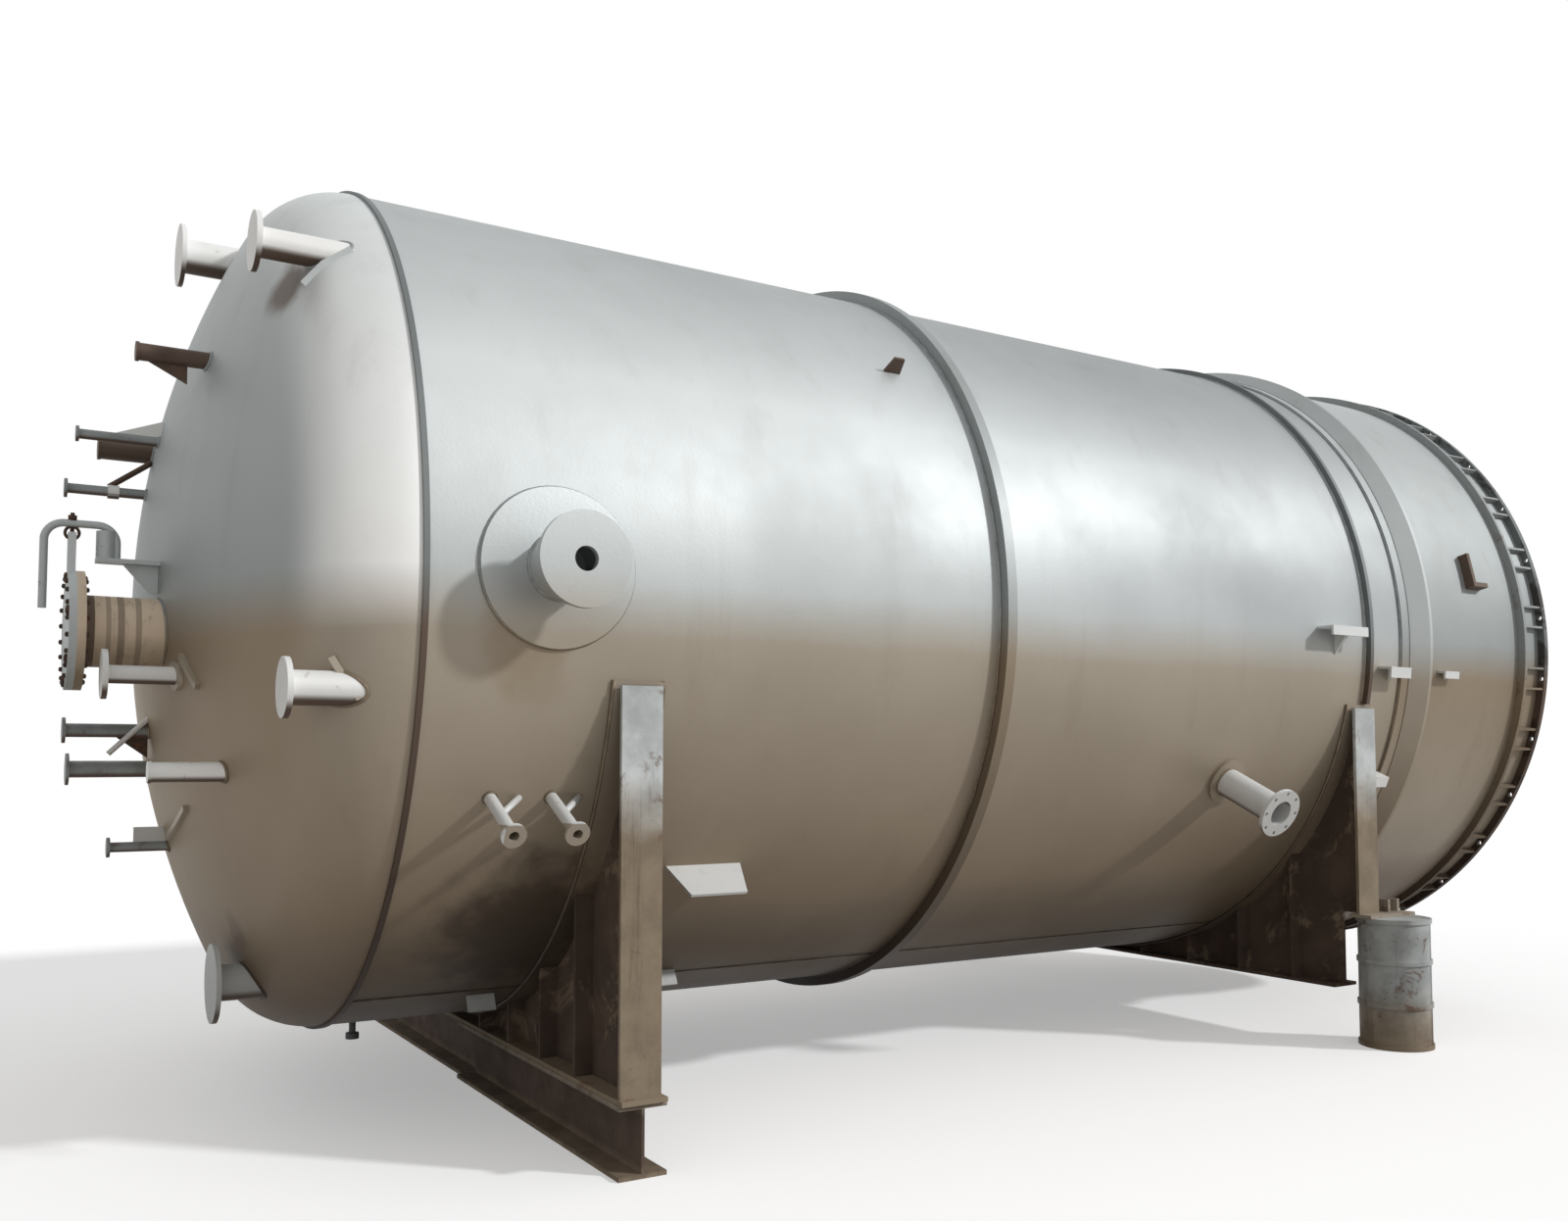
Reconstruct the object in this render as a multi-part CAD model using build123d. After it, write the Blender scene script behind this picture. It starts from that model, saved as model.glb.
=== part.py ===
from build123d import *
from math import asin, atan2, cos, degrees, pi, radians, sin, sqrt
import os

# Large process vessel lying on two transport saddles. Lengths in millimetres.
# Drawn along X from the front tangent line, with the vessel axis at Y = 0, Z = 0,
# and moved at the end so that the origin is on the ground under the middle.

# Vessel body
shell_radius = 2100.0
shell_wall = 20.0
crown_radius = 4200.0
knuckle_radius = 420.0
middle_ring_x = 2935.0
rear_tangent_x = 6240.0
seam_angle = 62.0
weld_gap = 0.3
cut_margin = 1.0

# Rings round the shell
seam_ring_width = 24.0
seam_ring_proud = 14.0
middle_ring_width = 60.0
middle_ring_proud = 58.0
rear_ring_x = 5850.0
rear_ring_width = 30.0
rear_ring_proud = 36.0
rear_ring_clearance = 8.0

# Skirt behind the rear head
skirt_wall = 16.0
skirt_lap = 60.0
skirt_end_x = 7750.0
band_x = 6370.0
band_width = 25.0
band_proud = 84.0
band_flare = 115.0
band_lip = 4.0
base_ring_thickness = 40.0
base_ring_proud = 46.7
base_ring_inward = 150.3
chair_height = 210.0
chair_plate_thickness = 28.0
anchor_count = 32
anchor_hole_radius = 17.0
anchor_edge_distance = 24.0
gusset_thickness = 14.0
gusset_half_spacing = 70.0
gusset_setback = 6.0

# Ground and supports
saddle_throat = 48.4
saddle_depth = 190.0
saddle_plate = 20.0
saddle_base_thickness = 20.0
rear_base_raise = 25.0
wrapper_thickness = 16.0
wrapper_margin = 20.0
horn_drop = 450.0
front_saddle_x = 930.0
rear_saddle_x = 5807.0
base_plate_overhang = 45.0
rib_offsets = (330.0, 760.0, 1190.0, 1610.0)

# Beams under the front saddle
beam_depth = 305.0
beam_flange_width = 220.0
beam_flange = 20.0
beam_web = 14.0
beam_overhang = 25.0
beam_joint_gap = 30.0
beam_offset = 35.0

# Drums under the rear saddle
drum_radius = 212.0
drum_height = 770.0
drum_hoop = 9.0
drum_hoop_width = 26.0
drum_behind_saddle = 130.0
drum_outboard = 70.0
drum_clearance = 35.0
foot_plate_thickness = 20.0
foot_plate_width = 150.0
foot_gusset_height = 75.0
foot_gusset_length = 90.0

# Trunnions
trunnion_x = 548.0
trunnion_z = 25.0
trunnion_reach = 290.0
trunnion_radius = 135.0
trunnion_wall = 18.0
trunnion_plate_radius = 194.0
trunnion_plate = 30.0
trunnion_hole_radius = 50.0
trunnion_pad_radius = 335.0
pad_thickness = 18.0

# Manway on the front head, placed like the nozzles; the lug and the davit are
# placed from the centre of its cover and from the cover's outer face
manway_angle = -19.4
manway_inset = 1527.5
manway_projection = 370.3
manway_radius = 160.0
manway_wall = 14.0
manway_flange_radius = 265.0
manway_flange = 35.0
manway_cover = 32.0
lug_width = 70.0
lug_height = 435.0
davit_pipe_radius = 17.0
davit_bend_radius = 80.0
davit_handle_front = 93.0
davit_handle_height = 95.0
davit_arm_height = 478.0
davit_post_back = 195.0
davit_socket_back = 151.0
davit_socket_radius = 40.0
davit_socket_height = 122.0
davit_bracket_back = 111.0
davit_bracket_height = 330.0
davit_bracket_half_width = 40.0
davit_bracket_plate = 20.0
davit_gusset_back = 220.0
davit_gusset_drop = 125.0

# Flanged nozzles on the front head: angle above the horizontal on the near side,
# inset from the shell radius, projection from the head, pipe radius, flange radius
upper_near_nozzle = (43.6, 95.0, 289.0, 64.0, 124.0)
upper_far_nozzle = (98.5, 204.0, 270.0, 88.0, 160.0)
middle_near_nozzle = (-26.0, 1201.0, 303.0, 40.0, 108.0)
edge_near_nozzle = (-14.2, 111.0, 208.0, 68.0, 118.0)
bottom_nozzle = (-69.6, 207.0, 170.0, 82.0, 178.0)
upper_small_nozzles = (
    (54.9, 817.0, 300.0, 39.0, 44.0),
    (84.5, 1301.0, 364.0, 24.0, 38.0),
    (99.9, 1313.0, 252.0, 48.0, 52.0),
    (93.2, 1551.0, 360.0, 24.0, 46.0),
)
lower_small_nozzles = (
    (-35.5, 698.0, 291.0, 42.0, 46.0),
    (-74.2, 1450.0, 365.0, 32.0, 60.0),
    (-89.4, 1292.0, 365.0, 40.0, 76.0),
    (-89.4, 915.0, 273.0, 24.0, 48.0),
)
flange_thickness = 22.0
small_flange_thickness = 14.0
pipe_wall = 10.0
pad_spread = 1.6

# Nozzles on the shell, at an angle below the horizontal
rear_nozzle_x = 4773.0
rear_nozzle_angle = 25.0
rear_nozzle_reach = 420.0
rear_nozzle_radius = 84.0
rear_nozzle_flange_radius = 142.0
rear_nozzle_bolt_circle = 120.0
rear_nozzle_bolts = 8
rear_nozzle_bolt_radius = 11.0
drip_nozzle_x = (340.0, 608.0)
drip_nozzle_angle = 26.0
drip_nozzle_reach = 325.0
drip_nozzle_radius = 26.0
drip_flange_radius = 52.0
drain_x = 262.0
drain_radius = 17.0
drain_drop = 120.0
drain_cap_radius = 34.0
drain_cap = 30.0

# Clips: x, angle above the horizontal on the near side, length, height,
# widening at the root, lip hanging from the outer edge, drop of the gusset below
front_clips = (
    (1441.0, -36.7, 290.0, 200.0, 50.0, 0.0, 0.0),
    (640.0, -64.3, 135.0, 80.0, 0.0, 0.0, 0.0),
    (1555.0, -61.2, 150.0, 80.0, 0.0, 0.0, 0.0),
    (2532.0, 36.3, 60.0, 90.0, 20.0, 0.0, 0.0),
)
rear_clips = (
    (5538.0, 0.7, 330.0, 110.0, 0.0, 50.0, 150.0),
    (6068.0, -5.2, 200.0, 90.0, 0.0, 60.0, 80.0),
    (6100.0, -23.7, 130.0, 95.0, 0.0, 60.0, 0.0),
    (6635.0, -5.4, 150.0, 70.0, 0.0, 40.0, 60.0),
)
clip_thickness = 14.0

# Angle bracket on the skirt
bracket_x = 6945.0
bracket_angle = 13.0
bracket_proud = 60.0
bracket_width = 30.0
bracket_height = 230.0
bracket_foot = 140.0

# Derived places
head_depth = crown_radius - sqrt(
    (crown_radius - knuckle_radius) ** 2 - (shell_radius - knuckle_radius) ** 2
)
skirt_inner_radius = shell_radius + weld_gap
skirt_radius = skirt_inner_radius + skirt_wall
base_ring_radius = skirt_radius + base_ring_proud
base_ring_inner_radius = skirt_inner_radius - base_ring_inward
anchor_circle_radius = base_ring_radius - anchor_edge_distance
wrapper_radius = shell_radius + weld_gap + wrapper_thickness
saddle_seat_radius = wrapper_radius + weld_gap
saddle_half_width = shell_radius
axis_height = saddle_seat_radius + saddle_throat + saddle_base_thickness + beam_depth
ground_z = -axis_height
saddle_base_z = ground_z + beam_depth + saddle_base_thickness
rear_base_z = saddle_base_z + rear_base_raise
foot_z = ground_z + drum_height + foot_plate_thickness
rear_ring_bottom = wrapper_margin + rear_ring_clearance - horn_drop
drum_x = rear_saddle_x + drum_behind_saddle
drum_y = saddle_half_width + drum_outboard
notch_y = drum_y - drum_radius - drum_clearance
skirt_start = rear_tangent_x - skirt_lap
skirt_stop = skirt_end_x - base_ring_thickness


def rod(radius, x0, x1, y=0.0, z=0.0):
    """Round bar along X."""
    return Pos((x0 + x1) / 2, y, z) * Rot(0, 90, 0) * Cylinder(radius, abs(x1 - x0))


def ring(outer, inner, x0, x1):
    """Flat ring round the vessel axis."""
    return rod(outer, x0, x1) - rod(inner, x0 - cut_margin, x1 + cut_margin)


def block(x0, x1, y0, y1, z0, z1):
    """Box between two corners."""
    centre = Pos((x0 + x1) / 2, (y0 + y1) / 2, (z0 + z1) / 2)
    return centre * Box(abs(x1 - x0), abs(y1 - y0), abs(z1 - z0))


def polar(centre, radius, angle):
    """Point on a circle in the drawing plane."""
    return (centre[0] + radius * cos(angle), centre[1] + radius * sin(angle))


def dish_edges(offset):
    """Crown and knuckle arcs of the dished head, moved outward by an offset."""
    crown_centre = (crown_radius - head_depth, 0.0)
    knuckle_centre = (0.0, shell_radius - knuckle_radius)
    meet = atan2(knuckle_centre[1], -crown_centre[0])
    crown = [polar(crown_centre, crown_radius + offset, a) for a in (pi, (pi + meet) / 2, meet)]
    top = pi / 2
    knuckle = [polar(knuckle_centre, knuckle_radius + offset, a) for a in (meet, (meet + top) / 2, top)]
    return ThreePointArc(*crown), ThreePointArc(*knuckle), crown[0], knuckle[-1]


def dish(offset):
    """Solid filled by the dished head, moved outward by an offset."""
    crown, knuckle, apex, rim = dish_edges(offset)
    sides = [Line(rim, (rim[0], 0)), Line((rim[0], 0), apex)]
    return revolve(make_face([crown, knuckle] + sides), Axis.X)


def head():
    """Dished head with its real wall, bulging toward -X."""
    crown, knuckle, apex, rim = dish_edges(0)
    inner_crown, inner_knuckle, inner_apex, inner_rim = dish_edges(-shell_wall)
    ends = [Line(rim, inner_rim), Line(inner_apex, apex)]
    return revolve(make_face([crown, knuckle, inner_knuckle, inner_crown] + ends), Axis.X)


def half(solid, upper, x0, x1):
    """One of the two plates that a rolled course is welded from."""
    reach = 2 * base_ring_radius
    side = block(x0 - cut_margin, x1 + cut_margin, -reach, reach, 0, reach if upper else -reach)
    return solid & (Rot(seam_angle, 0, 0) * side)


def on_shell(x, angle, radius=0.0):
    """Place with Z pointing outward from the shell on its near side, X along the vessel."""
    return Pos(x, 0, 0) * Rot(90 - angle, 0, 0) * Pos(0, 0, radius)


def head_face(reach):
    """X of the front head's outer face, some distance from the axis."""
    knuckle_y = shell_radius - knuckle_radius
    crown_reach = crown_radius * knuckle_y / (crown_radius - knuckle_radius)
    if reach < crown_reach:
        return crown_radius - head_depth - sqrt(crown_radius**2 - reach**2)
    return -sqrt(knuckle_radius**2 - (reach - knuckle_y) ** 2)


def head_place(angle, inset, projection):
    """Centre of a nozzle on the front head, and the X of its flange face."""
    reach = shell_radius - inset
    turn = radians(angle)
    return -reach * cos(turn), reach * sin(turn), head_face(reach) - projection


manway_y, manway_z, manway_face_x = head_place(manway_angle, manway_inset, manway_projection)
cover_back = manway_face_x + manway_cover
davit_handle_x = manway_face_x - davit_handle_front
davit_post_x = manway_face_x + davit_post_back
davit_arm_z = manway_z + davit_arm_height
davit_bracket_z = manway_z + davit_bracket_height
middle_x = (davit_handle_x - davit_pipe_radius + skirt_end_x) / 2

filled_head = dish(weld_gap)
filled_shell = rod(shell_radius + weld_gap, 0, rear_tangent_x)
filled_skirt = rod(skirt_radius + weld_gap, skirt_start, skirt_end_x)


def head_nozzle(angle, inset, projection, pipe_radius, flange_radius, flange=flange_thickness):
    """Pipe stub with a blanked flange, square to the head's axis."""
    y, z, face_x = head_place(angle, inset, projection)
    pipe = rod(pipe_radius, face_x, 0, y, z)
    bore = rod(pipe_radius - pipe_wall, face_x + flange, 0, y, z)
    return (pipe - bore - filled_head) + rod(flange_radius, face_x, face_x + flange, y, z)


def head_pad(angle, inset, projection, pipe_radius):
    """Reinforcing plate round a nozzle where it meets the head."""
    y, z, face_x = head_place(angle, inset, projection)
    skin = dish(weld_gap + pad_thickness) - filled_head
    rim = -seam_ring_width / 2 - weld_gap
    outline = rod(pad_spread * pipe_radius, face_x, rim, y, z)
    return skin & (outline - rod(pipe_radius + weld_gap, face_x - cut_margin, 0, y, z))


def shell_pad(x, angle, radius, hole):
    """Reinforcing plate on the cylindrical shell."""
    inner = shell_radius + weld_gap
    skin = ring(inner + pad_thickness, inner, x - 2 * radius, x + 2 * radius)
    outline = Cylinder(radius, shell_radius) - Cylinder(hole + weld_gap, shell_radius + cut_margin)
    return skin & (on_shell(x, angle, shell_radius) * outline)


def trunnion(side):
    """Lifting trunnion: pipe stub with a pierced end plate."""
    face = shell_radius + trunnion_reach
    start = shell_radius / 2
    stub = Pos(0, 0, (start + face) / 2) * Cylinder(trunnion_radius, face - start)
    inside = Pos(0, 0, (start + face - trunnion_plate) / 2) * Cylinder(
        trunnion_radius - trunnion_wall, face - trunnion_plate - start
    )
    plate = Pos(0, 0, face - trunnion_plate / 2) * Cylinder(trunnion_plate_radius, trunnion_plate)
    hole = Pos(0, 0, face) * Cylinder(trunnion_hole_radius, 4 * trunnion_plate)
    turned = Pos(trunnion_x, 0, trunnion_z) * Rot(-90 * side, 0, 0)
    return turned * (stub - inside + plate - hole) - filled_shell


def shell_nozzle(x, angle, reach, pipe_radius, flange_radius, flange, wall, bolts=0):
    """Pipe stub with an open flange, square to the shell."""
    face = shell_radius + reach
    start = shell_radius / 2
    pipe = Pos(0, 0, (start + face) / 2) * Cylinder(pipe_radius, face - start)
    disc = Pos(0, 0, face - flange / 2) * Cylinder(flange_radius, flange)
    bore = Pos(0, 0, (start + face) / 2) * Cylinder(pipe_radius - wall, face - start + 2 * cut_margin)
    for turned in PolarLocations(rear_nozzle_bolt_circle, bolts) if bolts else ():
        disc -= Pos(0, 0, face) * turned * Cylinder(rear_nozzle_bolt_radius, 4 * flange)
    return on_shell(x, angle) * (pipe + disc - bore) - filled_shell


def clip(x, angle, length, height, taper, lip, drop):
    """Plate standing out from the shell, with a lip and a gusset where it has them."""
    outer = shell_radius + height
    root = shell_radius - height
    half_length = length / 2
    outline = Polyline(
        (-half_length - 2 * taper, root),
        (-half_length, outer),
        (half_length, outer),
        (half_length + 2 * taper, root),
        close=True,
    )
    plate = extrude(Rot(90, 0, 0) * make_face(outline), clip_thickness / 2, both=True)
    if lip:
        plate += Pos(0, -lip / 2, outer - clip_thickness / 2) * Box(length, lip, clip_thickness)
    if drop:
        gusset = Polyline((0, root), (0, outer), (-drop, shell_radius), (-drop, root), close=True)
        upright = Plane(origin=(0, 0, 0), x_dir=(0, 1, 0), z_dir=(1, 0, 0))
        plate += extrude(upright * make_face(gusset), clip_thickness / 2, both=True)
    return on_shell(x, angle) * plate - filled_shell - filled_skirt


def skirt_bracket():
    """Angle bracket on the skirt: an upright bar with a foot towards the rear."""
    root = skirt_radius - bracket_proud
    outer = skirt_radius + bracket_proud
    middle = (root + outer) / 2
    bar = Pos(0, 0, middle) * Box(bracket_width, bracket_height, outer - root)
    low = (bracket_width - bracket_height) / 2
    foot = Pos(bracket_foot / 2, low, middle) * Box(bracket_foot, bracket_width, outer - root)
    return on_shell(bracket_x, bracket_angle) * (bar + foot) - filled_skirt


def saddle_wrapper(x):
    """Curved plate between the shell and a saddle."""
    half_length = saddle_depth / 2 + wrapper_margin
    band = ring(wrapper_radius, shell_radius + weld_gap, x - half_length, x + half_length)
    reach = 2 * base_ring_radius
    top = wrapper_margin - horn_drop
    return band & block(x - saddle_depth, x + saddle_depth, -reach, reach, -reach, top)


def saddle_seat(x):
    """Space taken up by the vessel and its wrapper plate."""
    return rod(saddle_seat_radius, x - 2 * saddle_depth, x + 2 * saddle_depth)


def saddle_frame(x, inner_y, inner_z, outer_z):
    """Cross web with ribs, deeper between the feet than over them."""
    edge = saddle_half_width - saddle_plate
    half_plate = saddle_plate / 2
    frame = block(x - half_plate, x + half_plate, -edge, edge, outer_z, -horn_drop)
    frame += block(x - half_plate, x + half_plate, -inner_y, inner_y, inner_z, -horn_drop)
    half_depth = saddle_depth / 2
    for y in rib_offsets:
        for side in (-y, y):
            y0 = side - half_plate
            y1 = side + half_plate
            frame += block(x - half_depth, x + half_depth, y0, y1, inner_z, -horn_drop)
    return frame - saddle_seat(x)


def end_flange(x, side, bottom):
    """Upright plate that closes a saddle at the side."""
    half_depth = saddle_depth / 2
    outer = side * saddle_half_width
    inner = side * (saddle_half_width - saddle_plate)
    return block(x - half_depth, x + half_depth, inner, outer, bottom, -horn_drop) - saddle_seat(x)


def beam(x, y0, y1):
    """Rolled I-beam along Y on the ground."""
    half_width = beam_flange_width / 2
    half_web = beam_web / 2
    half_flange = beam_flange / 2
    top = ground_z + beam_depth
    lower = block(x - half_width, x + half_width, y0, y1, ground_z, ground_z + beam_flange)
    upper = block(x - half_width, x + half_width, y0, y1, top - beam_flange, top)
    web = block(x - half_web, x + half_web, y0, y1, ground_z + half_flange, top - half_flange)
    return lower + web + upper


def drum(side):
    """Filled steel drum with two rolling hoops and rolled rims."""
    body = Cylinder(drum_radius - drum_hoop, drum_height)
    for share in (-1 / 6, 1 / 6):
        body += Pos(0, 0, share * drum_height) * Cylinder(drum_radius, drum_hoop_width)
    for end in (-1, 1):
        rim_z = end * (drum_height - drum_hoop_width) / 2
        body += Pos(0, 0, rim_z) * Cylinder(drum_radius, drum_hoop_width)
    return Pos(drum_x, side * drum_y, ground_z + drum_height / 2) * body


def foot_plate(side):
    """Plate and two short gussets that carry a saddle end on its drum."""
    x0 = rear_saddle_x - saddle_depth / 2
    x1 = drum_x + drum_radius
    y0 = saddle_half_width - foot_plate_width / 2
    y1 = saddle_half_width + foot_plate_width / 2
    foot = block(x0, x1, side * y0, side * y1, foot_z - foot_plate_thickness, foot_z)
    gusset_x = rear_saddle_x + saddle_depth / 2 + foot_gusset_length
    for step in (0, 1):
        x = gusset_x + step * foot_gusset_length
        outer = side * saddle_half_width
        inner = side * (saddle_half_width - foot_gusset_height)
        foot += block(x, x + saddle_plate, inner, outer, foot_z, foot_z + foot_gusset_height)
    return foot


def manway_lid():
    """Blank flange of the manway, with the lug it hangs from."""
    disc = rod(manway_flange_radius, manway_face_x, cover_back, manway_y, manway_z)
    y0 = manway_y - lug_width / 2
    y1 = manway_y + lug_width / 2
    return disc + block(manway_face_x, cover_back, y0, y1, manway_z, manway_z + lug_height)


def davit():
    """Bent pipe over the manway cover, on a bracket that stands out from the head."""
    path = FilletPolyline(
        (davit_post_x, manway_y, davit_bracket_z),
        (davit_post_x, manway_y, davit_arm_z),
        (davit_handle_x, manway_y, davit_arm_z),
        (davit_handle_x, manway_y, manway_z + davit_handle_height),
        radius=davit_bend_radius,
    )
    start = Plane(origin=path @ 0, z_dir=path % 0)
    arm = sweep(start * Circle(davit_pipe_radius), path)
    socket_x = manway_face_x + davit_socket_back
    socket_z = davit_bracket_z + davit_socket_height / 2
    socket = Pos(socket_x, manway_y, socket_z) * Cylinder(davit_socket_radius, davit_socket_height)
    y0 = manway_y - davit_bracket_half_width
    y1 = manway_y + davit_bracket_half_width
    bracket_bottom = davit_bracket_z - davit_bracket_plate
    bracket_x = manway_face_x + davit_bracket_back
    bracket = block(bracket_x, 0, y0, y1, bracket_bottom, davit_bracket_z)
    gusset = Polyline(
        (manway_face_x + davit_gusset_back, bracket_bottom),
        (0, bracket_bottom),
        (0, bracket_bottom - davit_gusset_drop),
        (-head_depth, bracket_bottom - davit_gusset_drop),
        close=True,
    )
    gusset_face = Pos(0, manway_y, 0) * Rot(90, 0, 0) * make_face(gusset)
    bracket += extrude(gusset_face, gusset_thickness / 2, both=True)
    return arm + socket + (bracket - filled_head)


def rim_gussets():
    """Upright plates of the anchor chairs."""
    x0 = skirt_end_x - base_ring_thickness - chair_height
    x1 = skirt_end_x - base_ring_thickness
    plates = []
    for number in range(anchor_count):
        turn = Rot(360 / anchor_count * (number + 0.5), 0, 0)
        for side in (-1, 1):
            y = side * gusset_half_spacing
            low = skirt_radius + gusset_setback
            high = base_ring_radius - gusset_setback
            plate = block(x0, x1, y - gusset_thickness / 2, y + gusset_thickness / 2, low, high)
            plates.append(turn * plate)
    return plates


def flat_ring(x, width, inner, outer, holes=0):
    """Ring plate across the axis, with its anchor holes if it has any."""
    plate = ring(outer, inner, x, x + width)
    for number in range(holes):
        angle = 2 * pi / holes * (number + 0.5)
        plate -= rod(
            anchor_hole_radius,
            x - cut_margin,
            x + width + cut_margin,
            anchor_circle_radius * cos(angle),
            anchor_circle_radius * sin(angle),
        )
    return plate


def skirt_band():
    """Ring round the joint of vessel and skirt, rising as a cone from the front."""
    inner = skirt_radius + weld_gap
    outer = shell_radius + band_proud
    front = band_x - band_flare
    profile = Polyline(
        (front, inner),
        (front, inner + band_lip),
        (band_x, outer),
        (band_x + band_width, outer),
        (band_x + band_width, inner),
        close=True,
    )
    return revolve(make_face(profile), Axis.X)


parts = {}

parts["front_head"] = head()
parts["rear_head"] = Pos(rear_tangent_x, 0, 0) * (Rot(0, 0, 180) * head())

courses = (("front_shell", 0, middle_ring_x), ("rear_shell", middle_ring_x, rear_tangent_x))
for name, x0, x1 in courses:
    course = ring(shell_radius, shell_radius - shell_wall, x0, x1)
    parts[name + "_upper"] = half(course, True, x0, x1)
    parts[name + "_lower"] = half(course, False, x0, x1)

skirt = ring(skirt_radius, skirt_inner_radius, skirt_start, skirt_stop)
parts["skirt_upper"] = half(skirt, True, skirt_start, skirt_stop)
parts["skirt_lower"] = half(skirt, False, skirt_start, skirt_stop)
parts["skirt_band"] = skirt_band()
parts["base_ring"] = flat_ring(
    skirt_stop, base_ring_thickness, base_ring_inner_radius, base_ring_radius, anchor_count
)
parts["chair_ring"] = flat_ring(
    skirt_stop - chair_height - chair_plate_thickness,
    chair_plate_thickness,
    skirt_radius + weld_gap,
    base_ring_radius,
)
parts["chair_gussets"] = Compound(rim_gussets())

seam_inner = shell_radius + weld_gap
parts["head_seam_ring"] = flat_ring(
    -seam_ring_width / 2, seam_ring_width, seam_inner, shell_radius + seam_ring_proud
)
parts["middle_ring"] = flat_ring(
    middle_ring_x - middle_ring_width / 2,
    middle_ring_width,
    seam_inner,
    shell_radius + middle_ring_proud,
)
full_ring = flat_ring(
    rear_ring_x - rear_ring_width / 2, rear_ring_width, seam_inner, shell_radius + rear_ring_proud
)
ring_reach = 2 * shell_radius
parts["rear_ring"] = full_ring & block(
    rear_ring_x - rear_ring_width,
    rear_ring_x + rear_ring_width,
    -ring_reach,
    ring_reach,
    rear_ring_bottom,
    ring_reach,
)

parts["near_trunnion"] = trunnion(1)
parts["far_trunnion"] = trunnion(-1)
trunnion_angle = degrees(asin(trunnion_z / shell_radius))
pads = [
    shell_pad(trunnion_x, trunnion_angle, trunnion_pad_radius, trunnion_radius),
    shell_pad(trunnion_x, 180 - trunnion_angle, trunnion_pad_radius, trunnion_radius),
    shell_pad(rear_nozzle_x, -rear_nozzle_angle, pad_spread * rear_nozzle_radius, rear_nozzle_radius),
]
pads.append(head_pad(*middle_near_nozzle[:-1]))
parts["reinforcing_pads"] = Compound(pads)

parts["upper_near_nozzle"] = head_nozzle(*upper_near_nozzle)
parts["upper_far_nozzle"] = head_nozzle(*upper_far_nozzle)
parts["middle_near_nozzle"] = head_nozzle(*middle_near_nozzle)
parts["edge_near_nozzle"] = head_nozzle(*edge_near_nozzle)
parts["bottom_nozzle"] = head_nozzle(*bottom_nozzle)
parts["upper_small_nozzles"] = Compound(
    [head_nozzle(*nozzle, small_flange_thickness) for nozzle in upper_small_nozzles]
)
parts["lower_small_nozzles"] = Compound(
    [head_nozzle(*nozzle, small_flange_thickness) for nozzle in lower_small_nozzles]
)
rear_bore = Cylinder(rear_nozzle_radius - pipe_wall + weld_gap, shell_radius)
parts["rear_shell_upper"] -= on_shell(rear_nozzle_x, -rear_nozzle_angle, shell_radius) * rear_bore
parts["rear_side_nozzle"] = shell_nozzle(
    rear_nozzle_x,
    -rear_nozzle_angle,
    rear_nozzle_reach,
    rear_nozzle_radius,
    rear_nozzle_flange_radius,
    flange_thickness,
    pipe_wall,
    rear_nozzle_bolts,
)
parts["drip_nozzles"] = Compound([
    shell_nozzle(
        x,
        -drip_nozzle_angle,
        drip_nozzle_reach,
        drip_nozzle_radius,
        drip_flange_radius,
        small_flange_thickness,
        pipe_wall / 2,
    )
    for x in drip_nozzle_x
])
drain_end = -shell_radius - drain_drop
drain_pipe = Pos(drain_x, 0, drain_end / 2) * Cylinder(drain_radius, -drain_end) - filled_shell
drain_plug = Pos(drain_x, 0, drain_end + drain_cap / 2) * Cylinder(drain_cap_radius, drain_cap)
parts["bottom_drain"] = drain_pipe + drain_plug

parts["manway_cover"] = manway_lid()
flange_back = cover_back + manway_flange
manway_bore = rod(manway_radius - manway_wall, cover_back, 0, manway_y, manway_z)
manway_pipe = rod(manway_radius, cover_back, 0, manway_y, manway_z) - manway_bore - filled_head
manway_collar = rod(manway_flange_radius, cover_back, flange_back, manway_y, manway_z) - manway_bore
parts["manway_neck"] = manway_pipe + manway_collar
parts["manway_davit"] = davit()

parts["front_clips"] = Compound([clip(*sizes) for sizes in front_clips])
parts["rear_clips"] = Compound([clip(*sizes) for sizes in rear_clips] + [skirt_bracket()])

parts["saddle_wrappers"] = Compound([saddle_wrapper(front_saddle_x), saddle_wrapper(rear_saddle_x)])
saddle_y = saddle_half_width - saddle_plate
parts["front_saddle_web"] = saddle_frame(front_saddle_x, saddle_y, saddle_base_z, saddle_base_z)
parts["front_saddle_end_plates"] = Compound(
    [end_flange(front_saddle_x, side, saddle_base_z) for side in (-1, 1)]
)
half_base = saddle_depth / 2 + saddle_plate / 2
base_reach = saddle_half_width + base_plate_overhang
parts["front_saddle_base"] = block(
    front_saddle_x - half_base,
    front_saddle_x + half_base,
    -base_reach,
    base_reach,
    saddle_base_z - saddle_base_thickness,
    saddle_base_z,
)
parts["rear_saddle_web"] = saddle_frame(rear_saddle_x, notch_y, rear_base_z, foot_z)
parts["rear_saddle_end_plates"] = Compound([end_flange(rear_saddle_x, side, foot_z) for side in (-1, 1)])
parts["rear_saddle_base"] = block(
    rear_saddle_x - half_base,
    rear_saddle_x + half_base,
    -notch_y,
    notch_y,
    rear_base_z - saddle_base_thickness,
    rear_base_z,
)
parts["rear_foot_plates"] = Compound([foot_plate(side) for side in (-1, 1)])

beam_end = saddle_half_width + beam_overhang
parts["near_beam"] = beam(front_saddle_x, -beam_end, -beam_joint_gap / 2)
parts["far_beam"] = beam(front_saddle_x + beam_offset, beam_joint_gap / 2, beam_end)
parts["near_drum"] = drum(-1)
parts["far_drum"] = drum(1)

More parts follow.
